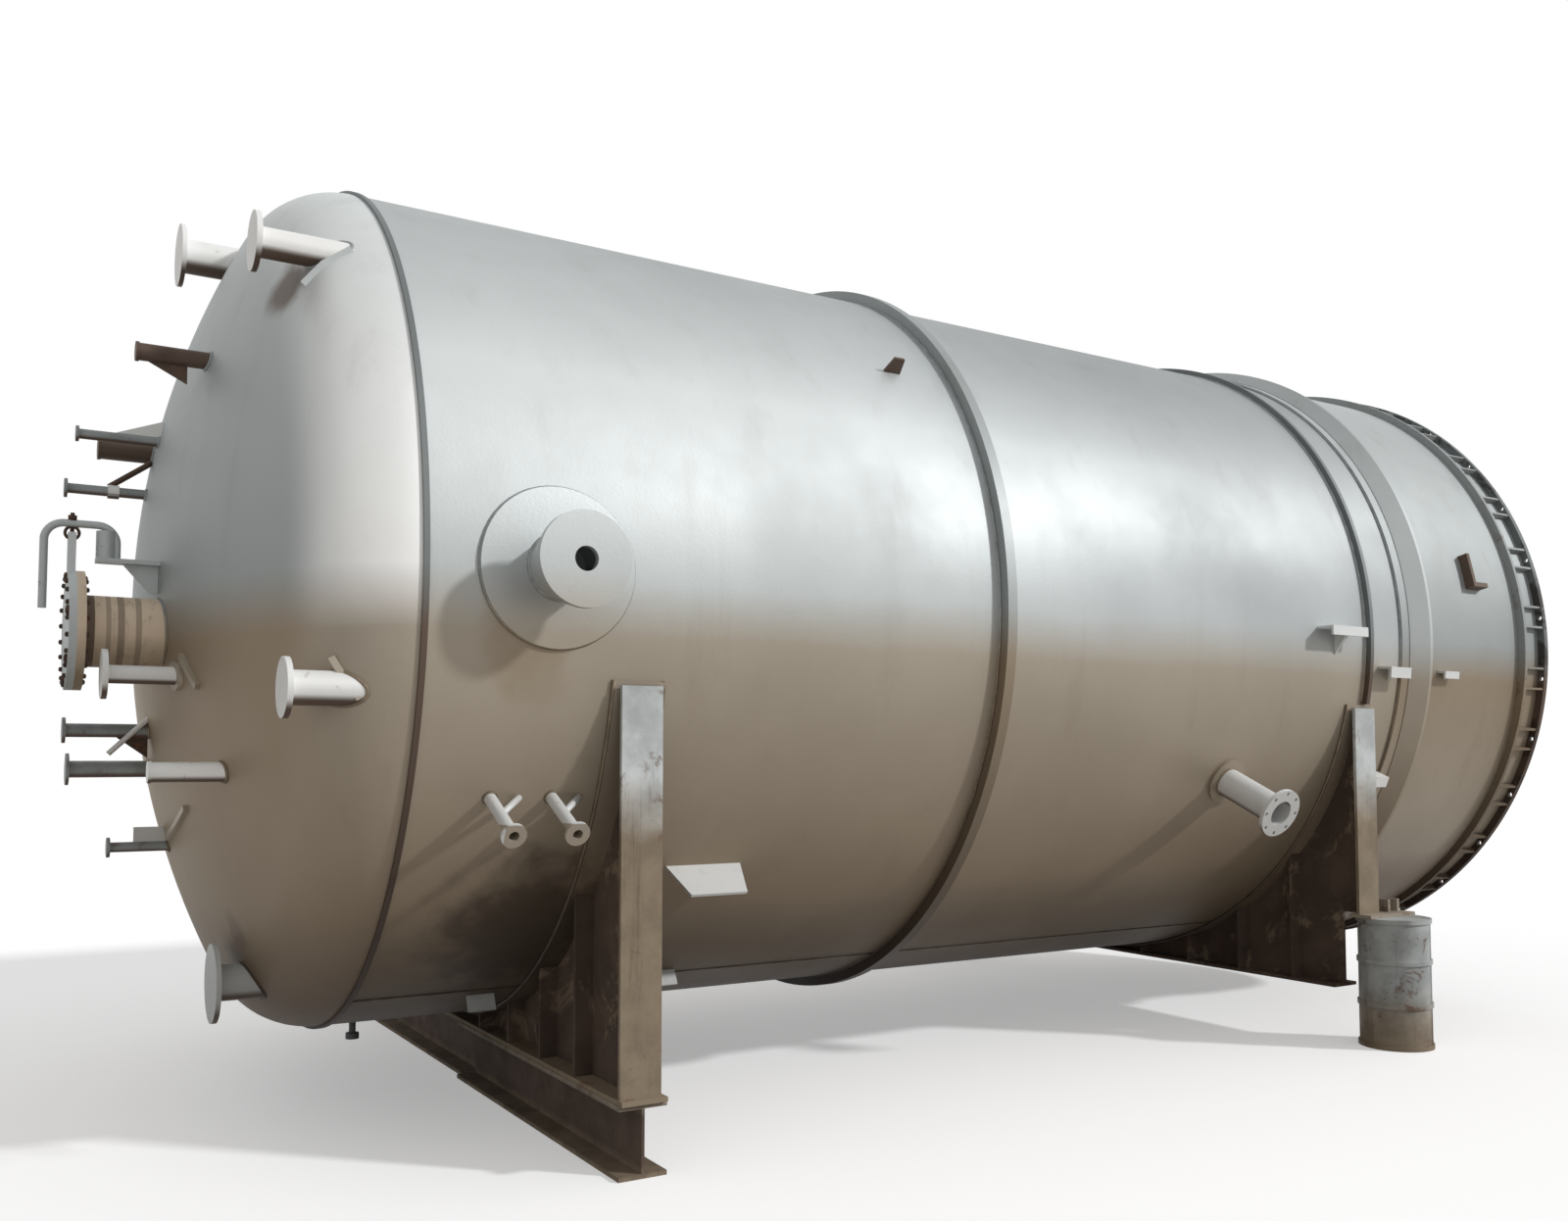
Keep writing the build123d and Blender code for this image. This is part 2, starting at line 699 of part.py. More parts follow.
place = Pos(-middle_x, 0, axis_height)
os.makedirs("parts", exist_ok=True)
for name, shape in parts.items():
    export_step(place * shape, f"parts/{name}.step")
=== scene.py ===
import math
import random

import bmesh
import bpy
from mathutils import Matrix, Vector


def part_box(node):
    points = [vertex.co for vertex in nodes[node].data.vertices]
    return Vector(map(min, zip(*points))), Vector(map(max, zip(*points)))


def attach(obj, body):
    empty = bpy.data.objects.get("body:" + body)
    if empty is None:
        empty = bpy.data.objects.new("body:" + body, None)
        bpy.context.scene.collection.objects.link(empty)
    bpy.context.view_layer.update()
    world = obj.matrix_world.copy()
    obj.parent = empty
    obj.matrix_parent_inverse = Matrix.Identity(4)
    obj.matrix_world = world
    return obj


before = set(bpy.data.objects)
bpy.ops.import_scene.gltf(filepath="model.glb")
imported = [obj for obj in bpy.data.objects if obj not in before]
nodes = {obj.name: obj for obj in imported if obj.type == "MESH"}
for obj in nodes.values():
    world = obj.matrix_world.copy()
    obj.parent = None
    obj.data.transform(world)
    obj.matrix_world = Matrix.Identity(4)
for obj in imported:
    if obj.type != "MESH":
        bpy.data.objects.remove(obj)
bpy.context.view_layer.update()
random.seed(7)
print("stage: frame loaded", len(nodes), "nodes")


# Driving places, all read from the frame

def boxCentre(node):
    low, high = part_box(node)
    return (low + high) / 2


seamCentre = boxCentre("head_seam_ring")
axisHeight = seamCentre.z
headX = seamCentre.x
shellRadius = (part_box("front_head")[1].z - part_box("front_head")[0].z) / 2
middleX = boxCentre("middle_ring").x
rearRingX = boxCentre("rear_ring").x
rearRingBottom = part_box("rear_ring")[0].z - axisHeight
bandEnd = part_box("skirt_band")[1].x
skirtLow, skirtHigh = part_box("skirt_upper")
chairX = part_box("chair_ring")[0].x
skirtRadius = skirtHigh.z - axisHeight
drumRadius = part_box("near_drum")[1].x - boxCentre("near_drum").x


def onVessel(x, y, z):
    # Point in metres from the front seam along the vessel, across, and above the axis
    return Vector((headX + x, y, axisHeight + z))


# Camera at the photo's angle

cameraLook = {
    "place": (headX - 1.495, -7.203, axisHeight - 0.758),
    "turn": 31.47,       # degrees from +Y towards +X
    "tilt": 3.13,        # degrees above level
    "focalPixels": 1358.2,
    "imageWidth": 1600,
    "principalDrop": 77, # pixels that the optical axis lies under the image centre
}


def makeCamera():
    data = bpy.data.cameras.new("photoCamera")
    data.sensor_width = 36
    data.lens = data.sensor_width * cameraLook["focalPixels"] / cameraLook["imageWidth"]
    data.shift_y = cameraLook["principalDrop"] / cameraLook["imageWidth"]
    data.clip_end = 200
    camera = bpy.data.objects.new("photoCamera", data)
    camera.location = cameraLook["place"]
    turned = (math.radians(90 + cameraLook["tilt"]), 0, math.radians(-cameraLook["turn"]))
    camera.rotation_euler = turned
    bpy.context.scene.collection.objects.link(camera)
    bpy.context.scene.camera = camera


makeCamera()
print("stage: camera")


# Shader building blocks

def newGroup(name, inputs, outputs):
    group = bpy.data.node_groups.new(name, "ShaderNodeTree")
    for label, value in inputs:
        socket = group.interface.new_socket(label, in_out="INPUT", socket_type="NodeSocketFloat")
        socket.default_value = value
    for label in outputs:
        group.interface.new_socket(label, in_out="OUTPUT", socket_type="NodeSocketFloat")
    start = group.nodes.new("NodeGroupInput")
    end = group.nodes.new("NodeGroupOutput")
    return group, start, end


def addNode(tree, kind, values=None, **settings):
    node = tree.nodes.new(kind)
    for key, value in settings.items():
        setattr(node, key, value)
    for key, value in (values or {}).items():
        node.inputs[key].default_value = value
    return node


def mathNode(tree, operation, *sources):
    node = addNode(tree, "ShaderNodeMath", operation=operation)
    for socket, source in zip(node.inputs, sources):
        if isinstance(source, (int, float)):
            socket.default_value = source
        else:
            tree.links.new(source, socket)
    return node.outputs[0]


def mixColour(tree, factor, first, second, blend="MIX"):
    node = addNode(tree, "ShaderNodeMix", data_type="RGBA", blend_type=blend)
    for socket, source in ((node.inputs[0], factor), (node.inputs[6], first), (node.inputs[7], second)):
        if hasattr(source, "links"):
            tree.links.new(source, socket)
        elif isinstance(source, (int, float)):
            socket.default_value = source
        else:
            socket.default_value = (*source, 1)
    return node.outputs[2]


def rampNode(tree, source, low, high):
    limits = {"From Min": low, "From Max": high}
    node = addNode(tree, "ShaderNodeMapRange", limits, interpolation_type="SMOOTHSTEP")
    tree.links.new(source, node.inputs["Value"])
    return node.outputs["Result"]


def placeParts(tree):
    place = addNode(tree, "ShaderNodeTexCoord").outputs["Object"]
    split = addNode(tree, "ShaderNodeSeparateXYZ")
    tree.links.new(place, split.inputs[0])
    return place, split.outputs


def makeHeightGroup():
    # Height over the vessel axis in metres, made ragged by a soft noise
    group, start, end = newGroup("raggedHeight", [("Ragged", 0.1), ("Grain", 1.2)], ["Height"])
    place, parts = placeParts(group)
    noise = addNode(group, "ShaderNodeTexNoise", {"Detail": 4.0, "Roughness": 0.6})
    group.links.new(place, noise.inputs["Vector"])
    group.links.new(start.outputs["Grain"], noise.inputs["Scale"])
    swing = mathNode(group, "SUBTRACT", noise.outputs["Fac"], 0.5)
    swing = mathNode(group, "MULTIPLY", swing, start.outputs["Ragged"])
    height = mathNode(group, "SUBTRACT", parts["Z"], axisHeight)
    group.links.new(mathNode(group, "ADD", height, swing), end.inputs["Height"])
    return group


def makeBlotchGroup():
    # Soft blotches and fine speckle of handled, weathered plate
    group, start, end = newGroup(
        "plateBlotch", [("Scale", 1.2), ("Speckle", 60.0)], ["Blotch", "Speckle"]
    )
    place, parts = placeParts(group)
    for source, output, detail in (("Scale", "Blotch", 5.0), ("Speckle", "Speckle", 2.0)):
        noise = addNode(group, "ShaderNodeTexNoise", {"Detail": detail, "Roughness": 0.6})
        group.links.new(place, noise.inputs["Vector"])
        group.links.new(start.outputs[source], noise.inputs["Scale"])
        group.links.new(rampNode(group, noise.outputs["Fac"], 0.3, 0.7), end.inputs[output])
    return group


def makeStreakGroup():
    # Runs of water and rust down a side
    group, start, end = newGroup("downStreaks", [("Width", 9.0), ("Amount", 0.5)], ["Mask"])
    place, parts = placeParts(group)
    mapping = addNode(group, "ShaderNodeMapping", {"Scale": (1.0, 1.0, 0.06)})
    group.links.new(place, mapping.inputs["Vector"])
    noise = addNode(group, "ShaderNodeTexNoise", {"Detail": 4.0, "Roughness": 0.65})
    group.links.new(mapping.outputs[0], noise.inputs["Vector"])
    group.links.new(start.outputs["Width"], noise.inputs["Scale"])
    mask = rampNode(group, noise.outputs["Fac"], 0.52, 0.78)
    mask = mathNode(group, "MULTIPLY", mask, start.outputs["Amount"])
    group.links.new(mask, end.inputs["Mask"])
    return group


def makeRustGroup():
    # Scattered rust patches with broken edges
    group, start, end = newGroup("rustPatches", [("Scale", 3.0), ("Least", 0.62)], ["Mask"])
    place, parts = placeParts(group)
    noise = addNode(group, "ShaderNodeTexNoise", {"Detail": 8.0, "Roughness": 0.7, "Distortion": 0.6})
    group.links.new(place, noise.inputs["Vector"])
    group.links.new(start.outputs["Scale"], noise.inputs["Scale"])
    over = mathNode(group, "SUBTRACT", noise.outputs["Fac"], start.outputs["Least"])
    group.links.new(rampNode(group, over, 0.0, 0.09), end.inputs["Mask"])
    return group


def makeShadePatchGroup():
    # Round patch of painted shade at a place in the frame, stretched upwards, with a ragged edge
    inputs = [("PlaceX", 0.0), ("PlaceY", 0.0), ("PlaceZ", 0.0)]
    inputs += [("Reach", 0.3), ("Tall", 1.0), ("Strength", 1.0)]
    group, start, end = newGroup("roundShadePatch", inputs, ["Mask"])
    place, parts = placeParts(group)
    noise = addNode(group, "ShaderNodeTexNoise", {"Scale": 7.0, "Detail": 4.0})
    group.links.new(place, noise.inputs["Vector"])
    squares = []
    for axis in "XYZ":
        away = mathNode(group, "SUBTRACT", parts[axis], start.outputs["Place" + axis])
        if axis == "Z":
            away = mathNode(group, "DIVIDE", away, start.outputs["Tall"])
        squares.append(mathNode(group, "MULTIPLY", away, away))
    total = mathNode(group, "ADD", mathNode(group, "ADD", squares[0], squares[1]), squares[2])
    share = mathNode(group, "DIVIDE", mathNode(group, "SQRT", total), start.outputs["Reach"])
    swing = mathNode(group, "MULTIPLY", mathNode(group, "SUBTRACT", noise.outputs["Fac"], 0.5), 0.9)
    edge = rampNode(group, mathNode(group, "ADD", share, swing), 1.0, 0.35)
    group.links.new(mathNode(group, "MULTIPLY", edge, start.outputs["Strength"]), end.inputs["Mask"])
    return group


heightGroup = makeHeightGroup()
blotchGroup = makeBlotchGroup()
streakGroup = makeStreakGroup()
rustGroup = makeRustGroup()
shadePatchGroup = makeShadePatchGroup()


def useGroup(tree, group, values=None):
    node = tree.nodes.new("ShaderNodeGroup")
    node.node_tree = group
    for key, value in (values or {}).items():
        node.inputs[key].default_value = value
    return node.outputs


def paint(red, green, blue):
    # Linear colour from the tones of 0 to 255 that a screen shows
    return tuple((part / 255) ** 2.2 for part in (red, green, blue))


def addShadePatches(tree, colour, shadePatches):
    for place, reach, tall, strength, shadeColour in shadePatches:
        spot = onVessel(*place)
        values = {"PlaceX": spot.x, "PlaceY": spot.y, "PlaceZ": spot.z, "Reach": reach, "Tall": tall,
                  "Strength": strength}
        colour = mixColour(tree, useGroup(tree, shadePatchGroup, values)["Mask"], colour, paint(*shadeColour))
    return colour


def toneRamp(tree, height, tones):
    # Colour by height over the axis, through a row of (height, colour) stops
    low = tones[0][0]
    high = tones[-1][0]
    share = addNode(tree, "ShaderNodeMapRange", {"From Min": low, "From Max": high})
    tree.links.new(height, share.inputs["Value"])
    node = addNode(tree, "ShaderNodeValToRGB")
    stops = node.color_ramp.elements
    for index, (level, colour) in enumerate(tones):
        place = (level - low) / (high - low)
        stop = stops[0] if index == 0 else stops[-1] if index == len(tones) - 1 else stops.new(place)
        stop.position = place
        stop.color = (*paint(*colour), 1)
    tree.links.new(share.outputs["Result"], node.inputs["Fac"])
    return node.outputs["Color"]


# Finishes: tones are (metres over the axis, colour), from the bottom up

baseLook = {
    "metallic": 0.36,
    "dullBelow": -1.95,  # level where dust leaves little bare metal, and where all of it is bare
    "bareAbove": -0.8,
    "leastBare": 0.05,
    "roughness": 0.54,
    "specular": 0.25,
    "ragged": 0.10,      # metres that the tone edges wander
    "grain": 1.2,
    "blotch": 0.9,       # size of the blotches, larger number is finer
    "blotchDepth": 0.08,
    "streaks": 0.10,
    "streakWidth": 5.0,
    "rust": 0.0,         # strength of rust patches
    "rustScale": 3.0,
    "rustLeast": 0.60,   # noise level above which rust shows
    "rustColour": (104, 70, 48),
    "dirt": (92, 74, 60),
    "bump": 0.08,
    "bumpDepth": 0.002,
    "speckle": 70.0,
    "roughSwing": 0.10,
}


def toneMaterial(name, look, extra=None):
    look = {**baseLook, **look}
    material = bpy.data.materials.new(name)
    material.use_nodes = True
    tree = material.node_tree
    shader = tree.nodes["Principled BSDF"]
    shader.inputs["Specular IOR Level"].default_value = look["specular"]
    height = useGroup(tree, heightGroup, {"Ragged": look["ragged"], "Grain": look["grain"]})["Height"]
    bare = rampNode(tree, height, look["dullBelow"], look["bareAbove"])
    bare = mathNode(tree, "MULTIPLY_ADD", bare, 1 - look["leastBare"], look["leastBare"])
    tree.links.new(mathNode(tree, "MULTIPLY", bare, look["metallic"]), shader.inputs["Metallic"])
    colour = toneRamp(tree, height, look["tones"])
    blotch = useGroup(tree, blotchGroup, {"Scale": look["blotch"], "Speckle": look["speckle"]})
    depth = 1 - look["blotchDepth"]
    shade = mixColour(tree, blotch["Blotch"], (1, 1, 1), (depth, depth, depth))
    colour = mixColour(tree, 1.0, colour, shade, "MULTIPLY")
    if extra:
        colour = extra(tree, colour)
    streak = useGroup(tree, streakGroup, {"Width": look["streakWidth"], "Amount": look["streaks"]})
    colour = mixColour(tree, streak["Mask"], colour, paint(*look["dirt"]))
    if look["rust"]:
        rust = useGroup(tree, rustGroup, {"Scale": look["rustScale"], "Least": look["rustLeast"]})
        amount = mathNode(tree, "MULTIPLY", rust["Mask"], look["rust"])
        colour = mixColour(tree, amount, colour, paint(*look["rustColour"]))
    tree.links.new(colour, shader.inputs["Base Color"])
    smoothest = look["roughness"] - 0.3 * look["roughSwing"]
    rough = mathNode(tree, "MULTIPLY_ADD", blotch["Blotch"], look["roughSwing"], smoothest)
    tree.links.new(rough, shader.inputs["Roughness"])
    bump = addNode(tree, "ShaderNodeBump", {"Strength": look["bump"], "Distance": look["bumpDepth"]})
    tree.links.new(blotch["Speckle"], bump.inputs["Height"])
    tree.links.new(bump.outputs[0], shader.inputs["Normal"])
    return material


# Finish colours on a scale of 0 to 255

white = (250, 250, 248)
paleSteel = (215, 220, 220)
steel = (190, 195, 195)
dullSteel = (160, 165, 165)
greySteel = (120, 125, 125)
paleSand = (235, 215, 190)
# The brown and near-black colours serve as real dust and rust, and also as painted reflection of the brown
# ground and painted shade
paleDustAndReflection = (170, 160, 145)
dustAndReflection = (150, 135, 115)
darkDustAndShade = (100, 85, 75)
grimeAndShade = (50, 40, 35)

# Levels in metres over the axis: below the middle the tones are painted reflection of brown ground, darkening
# to painted shade at the belly; above it steel, palest at the shoulder as a painted highlight

belly = -2.1
lowSide = -1.4
reflectionLine = -0.25
clear = 0.0
shoulder = 0.9
crownTop = 2.1

skinTones = [(belly, grimeAndShade), (lowSide, dustAndReflection), (reflectionLine, paleDustAndReflection), (clear, steel), (shoulder, paleSteel),
             (crownTop, dullSteel)]
# On the head, white at the axis is the painted highlight of the knuckle
headTones = [(belly, darkDustAndShade), (lowSide, dustAndReflection), (reflectionLine, paleDustAndReflection), (clear, white), (crownTop, paleSteel)]
crownShadeTones = [(belly, grimeAndShade), (lowSide, dustAndReflection), (reflectionLine, dustAndReflection), (clear, dullSteel), (crownTop, steel)]
skirtTones = [(belly, darkDustAndShade), (lowSide, paleDustAndReflection), (reflectionLine, dustAndReflection), (clear, dullSteel), (crownTop, steel)]
ringTones = [(belly, grimeAndShade), (reflectionLine, dustAndReflection), (clear, dullSteel), (crownTop, dullSteel)]
darkTones = [(belly, grimeAndShade), (reflectionLine, darkDustAndShade), (clear, greySteel), (crownTop, greySteel)]

shellLook = {
    "fadeFrom": 1.2,     # metres behind the front seam where painted shade starts to darken the skin
    "fadeTo": 5.2,
    "fadeLow": -0.2,     # metres over the axis between which the fade sets in
    "fadeHigh": 0.3,
    "rearShadeTone": (220, 220, 222),
    "shadePatches": (  # painted shade patches: place in metres from the front seam, across and above the axis; reach, height, strength
        ((0.70, -1.45, -1.62), 0.60, 1.3, 0.75, grimeAndShade),
        ((0.40, -2.08, -0.24), 0.24, 1.3, 0.70, dustAndReflection),
        ((0.46, -2.05, -0.42), 0.20, 0.9, 0.45, dustAndReflection),
    ),
}


def shellExtra(tree, colour):
    # Painted shade: darker towards the rear above the axis, and painted shade by the saddle and below the
    # trunnion
    place, parts = placeParts(tree)
    start = headX + shellLook["fadeFrom"]
    stop = headX + shellLook["fadeTo"]
    fade = rampNode(tree, parts["X"], start, stop)
    low = axisHeight + shellLook["fadeLow"]
    high = axisHeight + shellLook["fadeHigh"]
    fade = mathNode(tree, "MULTIPLY", fade, rampNode(tree, parts["Z"], low, high))
    fade = mixColour(tree, fade, (1, 1, 1), paint(*shellLook["rearShadeTone"]))
    return addShadePatches(tree, mixColour(tree, 1.0, colour, fade, "MULTIPLY"), shellLook["shadePatches"])


crownLook = {
    "full": 1.70,        # metres from the axis inside which the crown's painted shade tones show
    "gone": 2.06,
    "shadePatches": (
        # Painted shade patches on the head, the first under the upper near nozzle
        ((-0.40, -1.34, 1.24), 0.17, 1.1, 0.85, darkDustAndShade),
        ((-0.44, -0.78, -1.53), 0.12, 1.0, 0.55, darkDustAndShade),
    ),
}


def headExtra(tree, colour):
    # Painted shade: the crown of the dish is much darker than its knuckle, where the head tones paint a
    # highlight
    place, parts = placeParts(tree)
    up = mathNode(tree, "SUBTRACT", parts["Z"], axisHeight)
    square = mathNode(tree, "ADD", mathNode(tree, "POWER", up, 2.0), mathNode(tree, "POWER", parts["Y"], 2.0))
    crown = rampNode(tree, mathNode(tree, "SQRT", square), crownLook["gone"], crownLook["full"])
    colour = mixColour(tree, crown, colour, toneRamp(tree, up, crownShadeTones))
    return addShadePatches(tree, colour, crownLook["shadePatches"])


headSkin = toneMaterial("headSkin", {"tones": headTones, "ragged": 0.06}, headExtra)
shellSkin = toneMaterial("shellSkin", {"tones": skinTones}, shellExtra)
skirtSkin = toneMaterial("skirtSkin", {"tones": skirtTones, "streaks": 0.16})
padSkin = toneMaterial("padSkin", {"tones": skinTones, "roughness": 0.46})
# Painted shade: the seam ring, middle ring and rear ring are greyer than the shell, for the shade on their
# faces towards the head
seamMetal = toneMaterial("seamMetal", {
    "tones": darkTones,
    "roughness": 0.55,
})
ringMetal = toneMaterial("ringMetal", {
    "tones": ringTones,
    "roughness": 0.5,
})
thinRingMetal = toneMaterial("thinRingMetal", {
    "tones": darkTones,
    "roughness": 0.5,
})
bandMetal = toneMaterial("bandMetal", {
    "tones": [(belly, grimeAndShade), (lowSide, dustAndReflection), (reflectionLine, paleDustAndReflection), (clear, steel), (crownTop, dullSteel)],
    "streaks": 0.2,
})
chairMetal = toneMaterial("chairMetal", {
    "tones": ringTones,
    "rust": 0.45, "rustScale": 5.0, "rustLeast": 0.56, "streaks": 0.3, "metallic": 0.2, "roughness": 0.6,
})
baseRingMetal = toneMaterial("baseRingMetal", {
    "tones": darkTones,
    "rust": 0.75, "rustScale": 4.0, "rustLeast": 0.5, "metallic": 0.15, "roughness": 0.65,
    "rustColour": grimeAndShade,
})
trunnionMetal = toneMaterial("trunnionMetal", {
    "tones": [(reflectionLine, paleDustAndReflection), (clear, steel), (0.3, paleSteel)],
    "ragged": 0.03, "streaks": 0.05,
})
nozzleLook = {
    "tones": [(belly, steel), (reflectionLine, white), (crownTop, white)],
    "metallic": 0.15,
    "rust": 0.3,
    "rustScale": 9.0,
    "rustLeast": 0.62,
    "streaks": 0.1,
    "under": darkDustAndShade,
    "underSlopes": (-0.35, -0.75),
    "dripBox": ((0.30, 0.68), (-1.24, -1.02)),  # metres behind the front seam and above the axis
    "dripTone": paleDustAndReflection,
}


def paintUnderShade(tree, colour, look):
    # Painted shade: brown where the surface faces down, between two slopes of its normal
    normal = addNode(tree, "ShaderNodeTexCoord").outputs["Normal"]
    split = addNode(tree, "ShaderNodeSeparateXYZ")
    tree.links.new(normal, split.inputs[0])
    start, full = look["underSlopes"]
    return mixColour(tree, rampNode(tree, split.outputs["Z"], start, full), colour, paint(*look["under"]))


def nozzleExtra(tree, colour):
    # Painted shade in brown on the underside, and duller on the end discs of the drip nozzles
    colour = paintUnderShade(tree, colour, nozzleLook)
    place, parts = placeParts(tree)
    (front, back), (low, high) = nozzleLook["dripBox"]
    along = mathNode(tree, "COMPARE", parts["X"], headX + (front + back) / 2, (back - front) / 2)
    above = mathNode(tree, "COMPARE", parts["Z"], axisHeight + (low + high) / 2, (high - low) / 2)
    return mixColour(tree, mathNode(tree, "MULTIPLY", along, above), colour, paint(*nozzleLook["dripTone"]))


nozzleMetal = toneMaterial("nozzleMetal", nozzleLook, nozzleExtra)

smallPipeLook = {
    # Above the shoulder the pipes are painted dark brown as painted shade
    "tones": [(belly, greySteel), (lowSide, dullSteel), (shoulder, dullSteel), (1.0, darkDustAndShade),
              (crownTop, darkDustAndShade)],
    "blotch": 6.0,
    "blotchDepth": 0.3,
    "rust": 0.45,
    "rustScale": 12.0,
    "rustLeast": 0.56,
    "metallic": 0.25,
    "white": white,
    "whiteAcross": -1.0,  # metres across the vessel: nearer is white, beyond the next is dark
    "dark": darkDustAndShade,
    "darkAcross": 0.08,
    "under": darkDustAndShade,
    "underSlopes": (-0.3, -0.8),
}


def smallPipeExtra(tree, colour):
    # The low pipe on the near side is white, the short one at the top is dark, and undersides get brown
    # painted shade
    place, parts = placeParts(tree)
    low = mathNode(tree, "LESS_THAN", parts["Z"], axisHeight)
    near = mathNode(tree, "LESS_THAN", parts["Y"], smallPipeLook["whiteAcross"])
    white = mathNode(tree, "MULTIPLY", low, near)
    colour = mixColour(tree, white, colour, paint(*smallPipeLook["white"]))
    dark = mathNode(tree, "GREATER_THAN", parts["Y"], smallPipeLook["darkAcross"])
    colour = mixColour(tree, dark, colour, paint(*smallPipeLook["dark"]))
    return paintUnderShade(tree, colour, smallPipeLook)


smallPipeMetal = toneMaterial("smallPipeMetal", smallPipeLook, smallPipeExtra)

neckLook = {
    "tones": [(-0.4, dustAndReflection), (-0.2, paleSand), (clear, paleSand)],
    "rust": 0.25,
    "rustScale": 8.0,
    "rustLeast": 0.58,
    "streaks": 0.4,
    "streakWidth": 30.0,
    "metallic": 0.15,
    "roughness": 0.6,
    "bandTone": darkDustAndShade,
    "bands": ((-1.055, 0.016, 0.9), (-0.985, 0.010, 0.45), (-0.935, 0.014, 0.6), (-0.865, 0.012, 0.5)),
}


def neckExtra(tree, colour):
    # Darker bands round the neck of the manway
    place, parts = placeParts(tree)
    for along, reach, strength in neckLook["bands"]:
        mask = mathNode(tree, "COMPARE", parts["X"], headX + along, reach)
        mask = mathNode(tree, "MULTIPLY", mask, strength)
        colour = mixColour(tree, mask, colour, paint(*neckLook["bandTone"]))
    return colour


neckMetal = toneMaterial("neckMetal", neckLook, neckExtra)
coverMetal = toneMaterial("coverMetal", {
    "tones": [(-0.5, dullSteel), (clear, paleSteel)],
    "rust": 0.4, "rustScale": 9.0, "rustLeast": 0.6, "streaks": 0.3, "streakWidth": 18.0, "metallic": 0.25,
})
davitMetal = toneMaterial("davitMetal", {
    "tones": [(-0.4, steel), (0.4, steel)],
    "rust": 0.4, "rustScale": 14.0, "rustLeast": 0.58, "metallic": 0.3,
})
clipLook = {"tones": [(belly, steel), (-1.0, white), (0.4, paleSteel), (crownTop, greySteel)],
            "metallic": 0.2, "streaks": 0.12, "streakWidth": 16.0, "darkTone": darkDustAndShade,
            "darkPlaces": ((2.532, 0.14), (6.945, 0.20))}


def clipExtra(tree, colour):
    # The lug on the front course and the bracket on the skirt are dark
    place, parts = placeParts(tree)
    for along, reach in clipLook["darkPlaces"]:
        mask = mathNode(tree, "COMPARE", parts["X"], headX + along, reach)
        colour = mixColour(tree, mask, colour, paint(*clipLook["darkTone"]))
    return colour


clipMetal = toneMaterial("clipMetal", clipLook, clipExtra)
saddleSteel = toneMaterial("saddleSteel", {
    "tones": [(-2.2, darkDustAndShade), (-0.4, darkDustAndShade)],
    "metallic": 0.1, "roughness": 0.75, "rust": 0.7, "rustScale": 2.2, "rustLeast": 0.52,
    "rustColour": dustAndReflection, "blotch": 3.0, "blotchDepth": 0.45, "streaks": 0.35, "streakWidth": 10.0,
})
endPlateSteel = toneMaterial("endPlateSteel", {
    "tones": [(belly, dustAndReflection), (-1.1, dustAndReflection), (-0.8, paleSteel), (-0.4, steel)],
    "ragged": 0.25, "grain": 4.0, "metallic": 0.15, "roughness": 0.55, "blotch": 7.0, "blotchDepth": 0.25,
    "rust": 0.6, "rustScale": 5.0, "rustLeast": 0.57, "streaks": 0.5, "streakWidth": 22.0,
})
footSteel = toneMaterial("footSteel", {
    "tones": [(-2.2, dustAndReflection), (-1.6, paleDustAndReflection)],
    "metallic": 0.1, "roughness": 0.7, "rust": 0.5, "rustScale": 6.0, "rustLeast": 0.54,
})
beamSteel = toneMaterial("beamSteel", {
    "tones": [(-2.49, dustAndReflection), (-2.43, darkDustAndShade), (-2.24, darkDustAndShade), (-2.18, paleDustAndReflection)],
    "ragged": 0.03, "grain": 6.0, "metallic": 0.1, "roughness": 0.75, "rust": 0.55, "rustScale": 6.0,
    "rustLeast": 0.53, "rustColour": darkDustAndShade, "blotch": 5.0, "blotchDepth": 0.35,
})
drumPaint = toneMaterial("drumPaint", {
    "tones": [(-2.49, dustAndReflection), (-2.3, paleDustAndReflection), (-2.1, steel), (-1.72, steel)],
    "ragged": 0.2, "grain": 5.0, "metallic": 0.1, "roughness": 0.6, "blotch": 7.0, "blotchDepth": 0.3,
    "rust": 0.7, "rustScale": 7.0, "rustLeast": 0.56, "streaks": 0.5, "streakWidth": 14.0,
})
weldMetal = toneMaterial("weldMetal", {
    "tones": ringTones,
    "blotch": 14.0, "blotchDepth": 0.3, "roughness": 0.5,
})
boltMetal = toneMaterial("boltMetal", {
    "tones": [(-2.4, grimeAndShade), (crownTop, darkDustAndShade)],
    "metallic": 0.4, "rust": 0.6, "rustScale": 20.0, "rustLeast": 0.5, "blotch": 20.0, "blotchDepth": 0.3,
})

